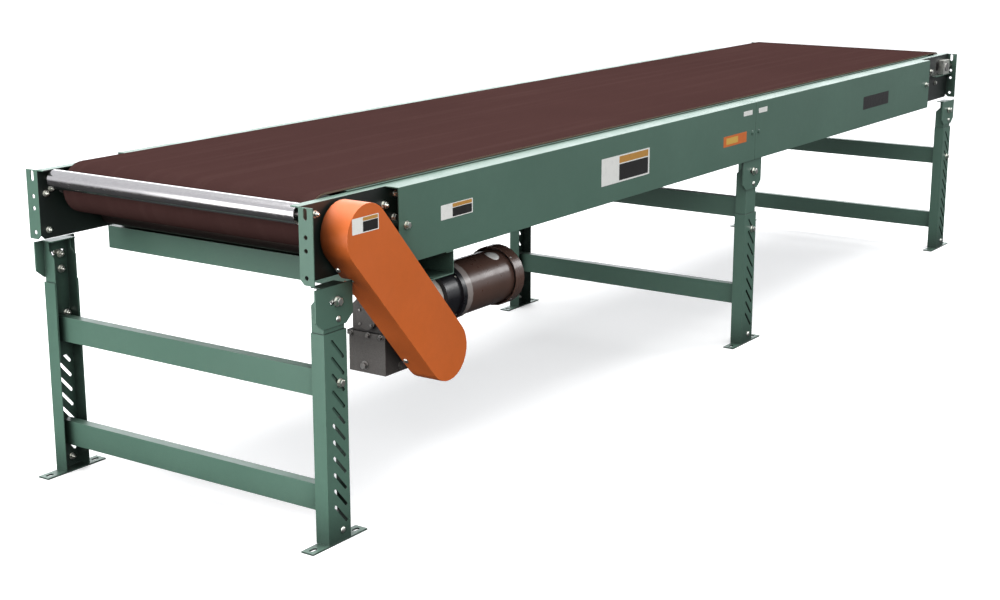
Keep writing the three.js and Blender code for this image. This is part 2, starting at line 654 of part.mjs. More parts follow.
// ---------------------------------------------------------------- assembly
addPair('rail_drive', 'green',
  sideRail([RAIL_START, BED_JOINT - 0.5], RAIL_BOLT.x, BED_JOINT - SPLICE_BOLT.fromJoint));
addPair('rail_tail', 'green',
  sideRail([BED_JOINT + 0.5, RAIL_END], LENGTH - RAIL_BOLT.x, BED_JOINT + SPLICE_BOLT.fromJoint));
addPart('bed_pan_drive', 'green', bedPan([190, BED_JOINT - 0.5]));
addPart('bed_pan_tail', 'green', bedPan([BED_JOINT + 0.5, TAIL.x - TAKEUP.travel - 55]));
addPair('splice_plate', 'green', splicePlate());
addPair('end_bracket_drive', 'green', driveEndBracket());
addPair('end_bracket_tail', 'green', tailEndBracket());

addPart('belt', 'belt', conveyorBelt());
addPart('drive_pulley', 'black', beltPulley(DRIVE_RADIUS, DRIVE));
addPart('drive_pulley_shaft', 'steel', driveShaft());
addPair('drive_bearing', 'casting', flangeBearing());
addPart('tail_pulley', 'steel', beltPulley(TAIL_RADIUS, TAIL));
addPart('tail_pulley_shaft', 'steel', tailShaft());
addPair('takeup_block', 'zinc', takeupBlock());
addPair('takeup_screw', 'zinc', takeupScrew());
addPart('nose_roller', 'chrome', idler(ROLLER_RADIUS, NOSE, drumEnds));
addPart('nose_roller_axle', 'steel', idlerAxle(NOSE, RECESS - 4));
addPart('snub_roller', 'zinc', idler(SNUB_RADIUS, SNUB, [50, WIDTH - 50]));
addPart('snub_roller_axle', 'steel', idlerAxle(SNUB, RECESS - 4));
addPart('return_roller', 'zinc', idler(ROLLER_RADIUS, RETURN, [50, WIDTH - 50]));
addPart('return_roller_axle', 'steel', idlerAxle(RETURN, SHEET + 0.5));

addPart('chain_guard_cover', 'orange', guardCover());
addPart('chain_guard_back', 'orange', guardBack());
addPart('driven_sprocket', 'steel', sprocket(DRIVE, 12.5));
addPart('drive_sprocket', 'steel', sprocket(OUTPUT, 12.5));
addPart('drive_chain', 'steel', driveChain());
addPart('drive_base', 'green', driveBase());
addPart('gearbox_housing', 'casting', gearboxHousing());
addPart('gearbox_mount', 'casting', gearboxMount());
addPart('gearbox_output_shaft', 'steel', outputShaft());
addPart('motor_adapter', 'black', motorAdapter());
addPart('motor_frame', 'motor', motorFrame());
addPart('motor_rotor', 'steel', motorRotor());
addPart('motor_fan_cover', 'motor', fanCover());

Object.entries(STANDS).forEach(([name, { x, legTop, lowerBrace, upperBrace }]) => {
  addPair(`upper_leg_${name}`, 'green', upperLeg(x));
  addPair(`lower_leg_${name}`, 'green', lowerLeg(x, legTop));
  addPart(`upper_brace_${name}`, 'green', crossBrace(x, upperBrace, UPPER_LEG_INNER));
  addPart(`lower_brace_${name}`, 'green', crossBrace(x, lowerBrace, LOWER_LEG_INNER));
});

const outerBox = new THREE.Box3().setFromObject(section);
section.position.set(-(outerBox.min.x + outerBox.max.x) / 2, -(outerBox.min.y + outerBox.max.y) / 2, 0);
const conveyor = new THREE.Group();
conveyor.add(section);

export default conveyor;
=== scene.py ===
"""Looks for the belt conveyor section: finishes, fasteners, labels and small fittings.

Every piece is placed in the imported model's own frame. Places are given in millimetres from
the drive end flange (x), the left rail face (y) and the floor (z).
"""

import json
import math

import bmesh
import bpy
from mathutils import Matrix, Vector


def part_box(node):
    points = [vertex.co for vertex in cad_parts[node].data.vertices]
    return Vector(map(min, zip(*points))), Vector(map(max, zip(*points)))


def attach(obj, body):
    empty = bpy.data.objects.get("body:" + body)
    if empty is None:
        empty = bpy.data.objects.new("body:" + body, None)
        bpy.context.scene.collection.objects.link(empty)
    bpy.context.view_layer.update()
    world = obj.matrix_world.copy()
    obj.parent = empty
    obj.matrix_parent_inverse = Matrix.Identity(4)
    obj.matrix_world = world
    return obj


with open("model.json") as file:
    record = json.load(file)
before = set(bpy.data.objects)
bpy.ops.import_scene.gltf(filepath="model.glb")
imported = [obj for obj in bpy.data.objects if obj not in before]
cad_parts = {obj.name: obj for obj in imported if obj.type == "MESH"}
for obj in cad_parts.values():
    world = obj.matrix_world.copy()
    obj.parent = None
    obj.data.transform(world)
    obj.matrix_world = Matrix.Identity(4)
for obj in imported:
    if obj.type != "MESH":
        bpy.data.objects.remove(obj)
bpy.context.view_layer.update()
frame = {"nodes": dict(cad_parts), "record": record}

MM = 0.001
DRIVE_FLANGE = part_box("end_bracket_drive_left")[0].x
LEFT_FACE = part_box("rail_drive_left")[0].y
LENGTH = (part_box("end_bracket_tail_left")[1].x - DRIVE_FLANGE) / MM
WIDTH = (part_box("rail_drive_right")[1].y - LEFT_FACE) / MM
SIDES = ("left", "right")
STANDS = ("drive", "centre", "tail")
X_AXIS, Y_AXIS, Z_AXIS = Vector((1, 0, 0)), Vector((0, 1, 0)), Vector((0, 0, 1))


def at(x, y, z):
    return Vector((DRIVE_FLANGE + x * MM, LEFT_FACE + y * MM, z * MM))


def middle(node):
    """Centre of a CAD node, in working millimetres."""
    low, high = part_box(node)
    centre = (low + high) / 2 - at(0, 0, 0)
    return centre / MM


def inside(side, depth):
    """The y of a plane that lies this far inside the left or right rail face."""
    return depth if side == "left" else WIDTH - depth


def outward(side):
    return -Y_AXIS if side == "left" else Y_AXIS


# ---------------------------------------------------------------- finishes
class Finish:
    """A node material being built. Its pattern is fixed to the object, in metres."""

    def __init__(self, name):
        self.material = bpy.data.materials.new(name)
        self.material.use_nodes = True
        self.tree = self.material.node_tree
        self.shader = self.tree.nodes["Principled BSDF"]
        self.place = self.node("ShaderNodeTexCoord").outputs["Object"]
        self.normal = self.node("ShaderNodeNewGeometry").outputs["Normal"]

    def node(self, kind, inputs=None, **settings):
        made = self.tree.nodes.new(kind)
        for setting, value in settings.items():
            setattr(made, setting, value)
        for key, value in (inputs or {}).items():
            self.feed(made.inputs[key], value)
        return made

    def feed(self, socket, value):
        if isinstance(value, bpy.types.NodeSocket):
            self.tree.links.new(value, socket)
        else:
            socket.default_value = value

    def maths(self, operation, first, second=0.0):
        return self.node("ShaderNodeMath", {0: first, 1: second}, operation=operation).outputs[0]

    def stretched(self, x, y, z):
        inputs = {0: self.place, 1: (x, y, z)}
        return self.node("ShaderNodeVectorMath", inputs, operation="MULTIPLY").outputs[0]

    def noise(self, scale, detail=3.0, roughness=0.55, place=None):
        inputs = {"Vector": place or self.place, "Scale": scale, "Detail": detail, "Roughness": roughness}
        return self.node("ShaderNodeTexNoise", inputs).outputs["Fac"]

    def levels(self, value, low, high, to_low=0.0, to_high=1.0):
        inputs = {"Value": value, "From Min": low, "From Max": high, "To Min": to_low, "To Max": to_high}
        return self.node("ShaderNodeMapRange", inputs).outputs["Result"]

    def blend(self, factor, first, second):
        return self.node("ShaderNodeMix", {0: factor, 6: first, 7: second}, data_type="RGBA").outputs[2]

    def axis_part(self, vector, axis):
        return self.node("ShaderNodeSeparateXYZ", {0: vector}).outputs[axis]

    def edges(self, radius):
        """1 on convex and concave edges, 0 on flat faces."""
        rounded = self.node("ShaderNodeBevel", {"Radius": radius}, samples=4).outputs[0]
        alike = self.node("ShaderNodeVectorMath", {0: rounded, 1: self.normal}, operation="DOT_PRODUCT")
        return self.levels(alike.outputs["Value"], 0.985, 0.86)

    def enclosed(self, reach, low, high):
        """1 deep in a recess or an inner corner, 0 in the open."""
        open_sky = self.node("ShaderNodeAmbientOcclusion", {"Distance": reach}, samples=6).outputs["AO"]
        return self.levels(open_sky, high, low)

    def bump(self, height, distance, strength=1.0):
        inputs = {"Height": height, "Distance": distance, "Strength": strength}
        return self.node("ShaderNodeBump", inputs).outputs[0]

    def done(self, colour, roughness, normal, constants=None):
        self.feed(self.shader.inputs["Base Color"], colour)
        self.feed(self.shader.inputs["Roughness"], roughness)
        self.feed(self.shader.inputs["Normal"], normal)
        for name, value in (constants or {}).items():
            self.shader.inputs[name].default_value = value
        return self.material


def rgb(red, green, blue):
    return (red, green, blue, 1.0)


def shade(colour, factor):
    return rgb(*(channel * factor for channel in colour[:3]))


def recessed_web(f):
    """1 on upright faces across the belt that lie well inside the rail faces."""
    flange_depth, fade = 30, 1
    belt_middle = LEFT_FACE + WIDTH / 2 * MM
    from_middle = f.maths("ABSOLUTE", f.maths("SUBTRACT", f.axis_part(f.place, "Y"), belt_middle))
    fade_start = (WIDTH / 2 - (flange_depth + fade)) * MM
    fade_end = (WIDTH / 2 - flange_depth) * MM
    deep = f.levels(from_middle, fade_start, fade_end, 1.0, 0.0)
    upright = f.levels(f.maths("ABSOLUTE", f.axis_part(f.normal, "Y")), 0.75, 0.95)
    return f.maths("MULTIPLY", deep, upright)


def powder_coat(name, colour, wear, gloss=0.38, web=None):
    """Powder coat: fine orange peel, cloudy tone, scuffs along edges and dust on top faces."""
    f = Finish(name)
    clouds = f.levels(f.noise(2.3, 4), 0.3, 0.7)
    mottle = f.levels(f.noise(46, 5, 0.65), 0.35, 0.7)
    tone = f.blend(clouds, shade(colour, 0.93), shade(colour, 1.08))
    tone = f.blend(f.maths("MULTIPLY", mottle, 0.35), tone, shade(colour, 0.86))
    handled = f.levels(f.noise(150, 4, 0.7), 0.52, 0.66)
    worn = f.maths("MULTIPLY", f.edges(0.0016), handled)
    tone = f.blend(f.maths("MULTIPLY", worn, 0.55), tone, wear)
    scuff_place = f.stretched(5, 60, 60)
    scuffs = f.levels(f.noise(9, 6, 0.6, scuff_place), 0.66, 0.72)
    tone = f.blend(f.maths("MULTIPLY", scuffs, 0.18), tone, shade(colour, 1.7))
    upward = f.levels(f.axis_part(f.normal, "Z"), 0.55, 0.95)
    dust = f.maths("MULTIPLY", upward, f.levels(f.noise(12, 5, 0.6), 0.3, 0.8))
    tone = f.blend(f.maths("MULTIPLY", dust, 0.10), tone, rgb(0.45, 0.44, 0.40))
    if web:
        tone = f.blend(f.maths("MULTIPLY", recessed_web(f), 0.97), tone, web)
    # Painted shade: ambient occlusion darkens recesses, inner corners and undersides nearly to black in the
    # base colour.
    grime_and_painted_shade = f.maths("MULTIPLY", f.enclosed(0.16, 0.42, 0.88), 0.94)
    tone = f.blend(grime_and_painted_shade, tone, shade(colour, 0.06))
    rough = f.levels(f.noise(7, 5), 0.3, 0.75, gloss - 0.05, gloss + 0.08)
    rough = f.maths("ADD", rough, f.maths("MULTIPLY", scuffs, 0.15))
    peel = f.bump(f.noise(420, 2, 0.5), 0.00035, 0.28)
    return f.done(tone, rough, peel)


def plated(name, colour, roughness, lines, tint, metallic=1.0, distance=0.00008):
    """Bare or plated metal with fine tool lines: lines are the stretch that draws them out."""
    f = Finish(name)
    grain = f.noise(90, 5, 0.7, f.stretched(*lines))
    patches = f.levels(f.noise(38, 4, 0.6), 0.42, 0.72)
    tone = f.blend(f.levels(grain, 0.3, 0.7), shade(colour, 0.88), shade(colour, 1.06))
    tone = f.blend(f.maths("MULTIPLY", patches, 0.35), tone, tint)
    worn = f.maths("MULTIPLY", f.edges(0.0008), 0.4)
    tone = f.blend(worn, tone, shade(colour, 1.25))
    rough = f.levels(grain, 0.25, 0.75, roughness * 0.75, roughness * 1.3)
    rough = f.maths("ADD", rough, f.maths("MULTIPLY", patches, 0.08))
    return f.done(tone, rough, f.bump(grain, distance, 0.5), {"Metallic": metallic})


def casting(name, colour):
    """Painted sand casting: coarse grainy skin with darker pits and rubbed corners."""
    f = Finish(name)
    skin = f.noise(330, 5, 0.7)
    lumps = f.noise(60, 4, 0.6)
    tone = f.blend(f.levels(skin, 0.35, 0.65), shade(colour, 0.7), shade(colour, 1.15))
    tone = f.blend(f.levels(lumps, 0.4, 0.75, 0.0, 0.5), tone, shade(colour, 0.8))
    rubbed = f.maths("MULTIPLY", f.edges(0.0025), f.levels(f.noise(120, 4), 0.4, 0.6))
    tone = f.blend(f.maths("MULTIPLY", rubbed, 0.45), tone, shade(colour, 2.2))
    # Painted shade: ambient occlusion darkens the casting in recesses and next to the parts around it.
    grime_and_painted_shade = f.maths("MULTIPLY", f.enclosed(0.16, 0.30, 0.85), 0.85)
    tone = f.blend(grime_and_painted_shade, tone, shade(colour, 0.15))
    height = f.maths("ADD", f.maths("MULTIPLY", skin, 0.6), lumps)
    return f.done(tone, f.levels(skin, 0.3, 0.7, 0.42, 0.62), f.bump(height, 0.0007, 0.6))


def enamel(name, colour, gloss, coat=0.25, bands=None):
    """Sprayed enamel. bands names an (end in working mm, colour) for a first stretch along X in another
    colour.
    """
    f = Finish(name)
    clouds = f.levels(f.noise(9, 4), 0.3, 0.7)
    tone = f.blend(clouds, shade(colour, 0.9), shade(colour, 1.1))
    if bands:
        end, band_colour = bands
        band_start = DRIVE_FLANGE + (end - 0.5) * MM
        band_end = DRIVE_FLANGE + (end + 0.5) * MM
        past = f.levels(f.axis_part(f.place, "X"), band_start, band_end)
        tone = f.blend(past, band_colour, tone)
    rubbed = f.maths("MULTIPLY", f.edges(0.0015), f.levels(f.noise(140, 4), 0.45, 0.65))
    tone = f.blend(f.maths("MULTIPLY", rubbed, 0.5), tone, shade(colour, 2.6))
    rough = f.levels(f.noise(26, 4), 0.3, 0.7, gloss - 0.05, gloss + 0.07)
    peel = f.bump(f.noise(300, 2), 0.0001, 0.12)
    return f.done(tone, rough, peel, {"Coat Weight": coat, "Coat Roughness": 0.12})


def belt_cover(name):
    """Friction-surface belt: a fine square weave on the cover and pale fabric plies at the edge."""
    f = Finish(name)
    cover = rgb(0.0425, 0.0207, 0.0190)
    clouds = f.levels(f.noise(1.3, 4), 0.3, 0.7)
    fibres = f.noise(520, 3, 0.6)
    tone = f.blend(clouds, shade(cover, 0.94), shade(cover, 1.06))
    tone = f.blend(f.levels(fibres, 0.4, 0.75, 0.0, 0.25), tone, shade(cover, 1.5))
    tracks = f.levels(f.noise(3.2, 4, 0.5, f.stretched(0.35, 9, 1)), 0.5, 0.78)
    tone = f.blend(f.maths("MULTIPLY", tracks, 0.07), tone, rgb(0.14, 0.085, 0.075))
    rubs = f.levels(f.noise(21, 6, 0.6, f.stretched(1, 7, 1)), 0.68, 0.76)
    tone = f.blend(f.maths("MULTIPLY", rubs, 0.06), tone, rgb(0.20, 0.14, 0.12))
    ply_wave = f.maths("SINE", f.maths("MULTIPLY", f.axis_part(f.place, "Z"), 3600.0))
    plies = f.blend(f.levels(ply_wave, -0.4, 0.6), rgb(0.19, 0.15, 0.11), rgb(0.07, 0.035, 0.03))
    edge = f.levels(f.maths("ABSOLUTE", f.axis_part(f.normal, "Y")), 0.6, 0.8)
    tone = f.blend(edge, tone, plies)
    pitch = 2 * math.pi / 0.0016
    warp = f.maths("SINE", f.maths("MULTIPLY", f.axis_part(f.place, "X"), pitch))
    weft = f.maths("SINE", f.maths("MULTIPLY", f.axis_part(f.place, "Y"), pitch))
    weave = f.maths("ADD", f.maths("MULTIPLY", warp, weft), fibres)
    rough = f.levels(f.noise(14, 5), 0.3, 0.7, 0.74, 0.84)
    return f.done(tone, rough, f.bump(weave, 0.0002, 0.35), {"Specular IOR Level": 0.0})


def rubber(name, colour):
    """Moulded rubber lagging with a pale bloom and a fine grain."""
    f = Finish(name)
    bloom = f.levels(f.noise(30, 5), 0.35, 0.75)
    tone = f.blend(bloom, colour, shade(colour, 1.9))
    grain = f.noise(600, 3)
    return f.done(tone, f.levels(bloom, 0, 1, 0.55, 0.75), f.bump(grain, 0.0003, 0.5))


def film(name, colour, gloss=0.35):
    """Printed vinyl film: faint print mottle, a little grime and a soft sheen."""
    f = Finish(name)
    grime_and_painted_shade = f.levels(f.noise(60, 5, 0.65), 0.5, 0.75)
    tone = f.blend(f.maths("MULTIPLY", grime_and_painted_shade, 0.35), colour, shade(colour, 0.72))
    tone = f.blend(f.levels(f.noise(700, 2), 0.3, 0.7, 0.0, 0.12), tone, shade(colour, 0.8))
    return f.done(tone, f.levels(grime_and_painted_shade, 0, 1, gloss, gloss + 0.2), f.bump(f.noise(160, 2), 0.0002, 0.2))


GREEN = powder_coat("green_powder_coat", rgb(0.082, 0.160, 0.120), rgb(0.26, 0.33, 0.28))
# The end bracket webs inside the rail faces are coloured near-black on both faces; on their inner faces,
# under the belt, this is painted shade.
BRACKET = powder_coat("bracket_powder_coat", rgb(0.082, 0.160, 0.120), rgb(0.26, 0.33, 0.28),
                      web=rgb(0.012, 0.014, 0.014))
ORANGE = powder_coat("orange_powder_coat", rgb(0.62, 0.133, 0.023), rgb(0.74, 0.36, 0.13), 0.40)
CHROME = plated("chrome_tube", rgb(0.70, 0.68, 0.69), 0.17, (40, 0.4, 40), rgb(0.52, 0.49, 0.50),
                distance=0.00002)
ZINC = plated("zinc_plate", rgb(0.84, 0.85, 0.79), 0.30, (3, 3, 3), rgb(0.66, 0.63, 0.50))
# Snub and return rollers: the near-black tone is painted shade for rollers that sit in shadow under the bed;
# the rollers are zinc plated.
ROLLER_PAINTED_SHADE = plated("roller_painted_shade", rgb(0.055, 0.040, 0.036), 0.45, (30, 0.5, 30), rgb(0.03, 0.022, 0.02))
STEEL = plated("bright_steel", rgb(0.42, 0.41, 0.40), 0.34, (14, 0.8, 14), rgb(0.24, 0.19, 0.15))
SHAFT_X = plated("bright_steel_lengthwise", rgb(0.42, 0.41, 0.40), 0.34, (0.8, 14, 14), rgb(0.24, 0.19, 0.15))
CASTING = casting("painted_casting", rgb(0.118, 0.109, 0.102))
# The lighter stretch of the motor frame up to x 682, on the front bell, is a painted highlight.
MOTOR = enamel("motor_enamel", rgb(0.105, 0.058, 0.044), 0.30, bands=(682, rgb(0.30, 0.26, 0.24)))
COVER = enamel("fan_cover_enamel", rgb(0.105, 0.058, 0.044), 0.27)
ADAPTER = enamel("adapter_enamel", rgb(0.008, 0.008, 0.011), 0.30, 0.15, bands=(578.5, rgb(0.85, 0.82, 0.74)))
BELT = belt_cover("belt_cover")
RUBBER = rubber("black_rubber", rgb(0.012, 0.012, 0.012))
WHITE_FILM = film("white_film", rgb(0.84, 0.84, 0.80))
AMBER_FILM = film("amber_film", rgb(0.52, 0.26, 0.055))
DARK_FILM = film("dark_film", rgb(0.014, 0.013, 0.013))
ORANGE_FILM = film("orange_film", rgb(0.66, 0.16, 0.03))
YELLOW_FILM = film("yellow_film", rgb(0.70, 0.42, 0.08))

NODE_FINISHES = {
    **{f"end_bracket_{end}_{side}": BRACKET for end in ("drive", "tail") for side in SIDES},
    "belt": BELT,
    "nose_roller": CHROME,
    "motor_frame": MOTOR,
    "motor_fan_cover": COVER,
    "motor_adapter": ADAPTER,
    "motor_rotor": SHAFT_X,
    "takeup_screw_left": SHAFT_X,
    "takeup_screw_right": SHAFT_X,
    "drive_pulley": RUBBER,
    # Snub and return rollers take the near-black painted shade finish instead of zinc.
    "snub_roller": ROLLER_PAINTED_SHADE,
    "return_roller": ROLLER_PAINTED_SHADE,
}
SLOT_FINISHES = {
    "green_paint": GREEN,
    "orange_paint": ORANGE,
    "zinc_plate": ZINC,
    "bare_steel": STEEL,
    "grey_casting": CASTING,
}


# ---------------------------------------------------------------- surface modifiers
def node_group(name):
    group = bpy.data.node_groups.new(name, "GeometryNodeTree")
    group.interface.new_socket("Geometry", in_out="INPUT", socket_type="NodeSocketGeometry")
    group.interface.new_socket("Geometry", in_out="OUTPUT", socket_type="NodeSocketGeometry")
    return group, group.nodes.new("NodeGroupInput").outputs[0], group.nodes.new("NodeGroupOutput").inputs[0]


def weld_group():
    """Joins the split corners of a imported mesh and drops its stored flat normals."""
    group, geometry, result = node_group("weld_corners")
    merge = group.nodes.new("GeometryNodeMergeByDistance")
    merge.inputs["Distance"].default_value = 0.01 * MM
    group.links.new(geometry, merge.inputs["Geometry"])
    geometry = merge.outputs["Geometry"]
    for attribute in ("custom_normal", "sharp_face", "sharp_edge"):
        remove = group.nodes.new("GeometryNodeRemoveAttribute")
        remove.inputs["Name"].default_value = attribute
        group.links.new(geometry, remove.inputs["Geometry"])
        geometry = remove.outputs["Geometry"]
    group.links.new(geometry, result)
    return group


def shade_group(angle):
    """Smooth shading, with edges sharper than the angle left crisp."""
    group, geometry, result = node_group("smooth_by_angle")
    faces = group.nodes.new("GeometryNodeSetShadeSmooth")
    faces.domain = "FACE"
    edges = group.nodes.new("GeometryNodeSetShadeSmooth")
    edges.domain = "EDGE"
    measured = group.nodes.new("GeometryNodeInputMeshEdgeAngle")
    below = group.nodes.new("FunctionNodeCompare")
    below.operation = "LESS_THAN"
    below.inputs["B"].default_value = angle
    group.links.new(geometry, faces.inputs["Geometry"])
    group.links.new(faces.outputs["Geometry"], edges.inputs["Geometry"])
    group.links.new(measured.outputs["Unsigned Angle"], below.inputs["A"])
    group.links.new(below.outputs["Result"], edges.inputs["Shade Smooth"])
    group.links.new(edges.outputs["Geometry"], result)
    return group


WELD = weld_group()
SMOOTH = shade_group(math.radians(34))


def add_group(obj, group):
    obj.modifiers.new(group.name, "NODES").node_group = group


def add_shading(obj):
    """Smooth shading that keeps large faces flat."""
    add_group(obj, SMOOTH)
    weighted = obj.modifiers.new("face_weighted", "WEIGHTED_NORMAL")
    weighted.keep_sharp = True
    weighted.weight = 100


def add_rounding(obj, width, segments=2):
    """Rounds the sharp edges; edges between the facets of a round stretch are left alone."""
    rounding = obj.modifiers.new("rounding", "BEVEL")
    rounding.width = width * MM
    rounding.segments = segments
    rounding.limit_method = "ANGLE"
    rounding.angle_limit = math.radians(38)
    rounding.use_clamp_overlap = True


def finish_node(node, obj, slot):
    obj.data.materials.clear()
    obj.data.materials.append(NODE_FINISHES.get(node) or SLOT_FINISHES[slot])
    add_group(obj, WELD)
    flatten = obj.modifiers.new("flat_faces", "DECIMATE")
    flatten.decimate_type = "DISSOLVE"
    flatten.angle_limit = math.radians(0.5)
    add_rounding(obj, 0.7)
    add_shading(obj)


slots = {part["node"]: part["material_slot"] for part in frame["record"]["subparts"]}
for node, obj in frame["nodes"].items():
    finish_node(node, obj, slots[node])


# ---------------------------------------------------------------- mesh building
def arc(radius, start, end, steps, centre=(0, 0)):
    """Points on part of a circle, from one angle to another in degrees."""
    angles = [math.radians(start + (end - start) * i / steps) for i in range(steps + 1)]
    return [(centre[0] + radius * math.cos(a), centre[1] + radius * math.sin(a)) for a in angles]


def rounded(width, height, radius, steps=5):
    """Outline of a rectangle with round corners, about its own centre."""
    u, v = width / 2 - radius, height / 2 - radius
    corners = [(u, v, 0), (-u, v, 90), (-u, -v, 180), (u, -v, 270)]
    return [p for cu, cv, start in corners for p in arc(radius, start, start + 90, steps, (cu, cv))]


class Shape:
    """A mesh made of closed solids, in the row frame."""

    def __init__(self):
        self.bm = bmesh.new()
        self.material = 0

    def faces(self, loops):
        for loop in loops:
            corners = list(dict.fromkeys(loop))
            if len(corners) > 2:
                self.bm.faces.new(corners).material_index = self.material

    def turned(self, profile, centre, axis, sides=24, closed=False):
        """A turned solid: profile is (radius, distance out along the axis), in millimetres."""
        along = Vector(axis).normalized()
        across = along.orthogonal().normalized()
        third = along.cross(across)
        rings = []
        for radius, out in profile:
            base = centre + along * out * MM
            if radius == 0:
                rings.append([self.bm.verts.new(base)])
                continue
            turns = [2 * math.pi * i / sides for i in range(sides)]
            ring = [base + (across * math.cos(a) + third * math.sin(a)) * radius * MM for a in turns]
            rings.append([self.bm.verts.new(point) for point in ring])
        following = rings[1:] + (rings[:1] if closed else [])
        for a, b in zip(rings, following):
            self.faces(
                (a[i % len(a)], a[(i + 1) % len(a)], b[(i + 1) % len(b)], b[i % len(b)]) for i in range(sides)
            )
        return self

    def plate(self, outline, centre, right, up, thickness):
        """A flat outline given thickness along right x up, in millimetres."""
        right, up = Vector(right), Vector(up)
        through = right.cross(up).normalized() * thickness * MM
        low = [self.bm.verts.new(centre + right * u * MM + up * v * MM) for u, v in outline]
        high = [self.bm.verts.new(vert.co + through) for vert in low]
        self.faces([low, high])
        count = len(low)
        self.faces((low[i], low[(i + 1) % count], high[(i + 1) % count], high[i]) for i in range(count))
        return self

    def block(self, x, y, z):
        """A box between limits in working millimetres."""
        corners = [(x[0], y[0]), (x[1], y[0]), (x[1], y[1]), (x[0], y[1])]
        return self.plate(corners, at(0, 0, z[0]), X_AXIS, Y_AXIS, z[1] - z[0])

    def piece(self, name, body, finishes, rounding=0.0):
        bmesh.ops.recalc_face_normals(self.bm, faces=self.bm.faces)
        mesh = bpy.data.meshes.new(name)
        self.bm.to_mesh(mesh)
        self.bm.free()
        obj = bpy.data.objects.new(name, mesh)
        bpy.context.scene.collection.objects.link(obj)
        for finish in finishes if isinstance(finishes, list) else [finishes]:
            mesh.materials.append(finish)
        if rounding:
            add_rounding(obj, rounding)
        add_shading(obj)
        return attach(obj, body) or obj


# ---------------------------------------------------------------- fasteners
def hex_head(shape, centre, axis, across=14):
    """Washer and chamfered hexagon head."""
    washer, corner, tall = across * 0.72, across / math.sqrt(3), across * 0.6
    shape.turned([(0, 0), (washer, 0), (washer, 1.4), (0, 1.4)], centre, axis)
    head = [(0, 1.3), (corner, 1.3), (corner, tall), (corner * 0.86, tall + 1), (0, tall + 1)]
    shape.turned(head, centre, axis, 6)


def hex_nut(shape, centre, axis, across=14):
    """Washer, nut and the end of its bolt with thread rings."""
    hex_head(shape, centre, axis, across)
    bolt, top = across * 0.28, across * 0.6 + 0.8
    thread = [(bolt - 0.35 * (i % 2), top + 0.6 * i) for i in range(8)]
    shape.turned([(0, top), *thread, (bolt * 0.7, top + 5.2), (0, top + 5.2)], centre, axis, 16)


def button_head(shape, centre, axis, across=14):
    """Low domed head."""
    radius, height = across / 2, across * 0.26
    dome = [(radius * math.cos(a), height * math.sin(a)) for a in (0, 0.35, 0.7, 1.05, 1.35)]
    shape.turned([(0, -0.2), (radius, -0.2), *dome, (0, height)], centre, axis, 20)


def socket_head(shape, centre, axis, across=10):
    """Cap screw with a round recess."""
    radius, tall, recess = across / 2, across * 0.55, across * 0.26
    outside = [(0, 0), (radius, 0), (radius, tall - 0.5), (radius - 0.5, tall)]
    socket = [(recess, tall), (recess, tall * 0.45), (0, tall * 0.4)]
    shape.turned(outside + socket, centre, axis, 18)


def fasteners(name, body, places, finish=ZINC):
    """One piece holding every fastener in a list of (kind, x, y, z, axis, size)."""
    shape = Shape()
    for kind, x, y, z, axis, across in places:
        kind(shape, at(x, y, z), axis, across)
    shape.piece(name, body, finish, rounding=0.25)


# Depths inside the rail face, in working millimetres.
LEG_FACE = 3
LEG_INNER = 8.8
LOWER_LEG_INNER = 5.7
RECESS = 37
RAIL_END_BOLT = 331

for side in SIDES:
    out = outward(side)
    face = inside(side, 0)
    recess = inside(side, RECESS)
    rail_ends = (RAIL_END_BOLT, LENGTH - RAIL_END_BOLT)
    fasteners(f"rail_bolts_{side}", "bed", [(hex_head, x, face, 698, out, 14) for x in rail_ends])
    splice = [(button_head, x, face, 695, out, 14) for x in (2132, 2176)]
    fasteners(f"splice_bolts_{side}", "bed", splice, GREEN)
    bracket = [(hex_nut, 51, recess, 765, out, 12), (hex_nut, 294, recess, 747, out, 15)]
    bracket += [(hex_head, x, recess, z, out, 14) for x, z in ((339, 768), (331, 713), (LENGTH - 188, 733))]
    bracket += [(hex_nut, LENGTH - 245, recess, 683, out, 12), (hex_head, LENGTH - 135, recess, 684, out, 12)]
    fasteners(f"bracket_bolts_{side}", "bed", bracket)
    inner = inside(side, RECESS + 3)
    behind = [(hex_nut, x, inner, z, -out, 12) for x, z in ((22, 729), (25, 638), (40, 739))]
    fasteners(f"bracket_nuts_{side}", "bed", behind)
    for stand in STANDS:
        x = middle(f"lower_leg_{stand}_{side}").x
        leg, leg_in = inside(side, LEG_FACE), inside(side, LEG_INNER)
        clamps = [(hex_head, x + 9.5, leg, 568, out, 17), (button_head, x + 12, leg, 527, out, 15)]
        clamps += [(hex_head, x + 12, leg, 379, out, 15)]
        spots = ((11.5, 564), (11.5, 525), (22, 409))
        clamps += [(hex_nut, x + reach, leg_in, z, -out, 14) for reach, z in spots]
        fasteners(f"leg_bolts_{stand}_{side}", "bed", clamps)
        low_in = inside(side, LOWER_LEG_INNER)
        feet = [(button_head, x + 11, leg, 28, out, 15), (hex_nut, x + 11, low_in, 28, -out, 12)]
        fasteners(f"foot_bolts_{stand}_{side}", f"stand_{stand}", feet)


GUARD_FACE = -46
GUARD_WALL = Vector((-0.746, 0, -0.667))  # outward from the guard's lower side wall
fasteners("guard_screws", "bed", [
    (button_head, 106.5, 21.5, 631, GUARD_WALL, 15), (button_head, 344.5, 18.5, 364.5, GUARD_WALL, 15),
])

# ---------------------------------------------------------------- gearbox and motor fittings
MOTOR_AXIS = middle("motor_frame")
MOTOR_RADIUS = 71.5
SPLIT = 412  # height of the gearbox split line
QUARTER_TURNS = [math.radians(45 + 90 * i) for i in range(4)]


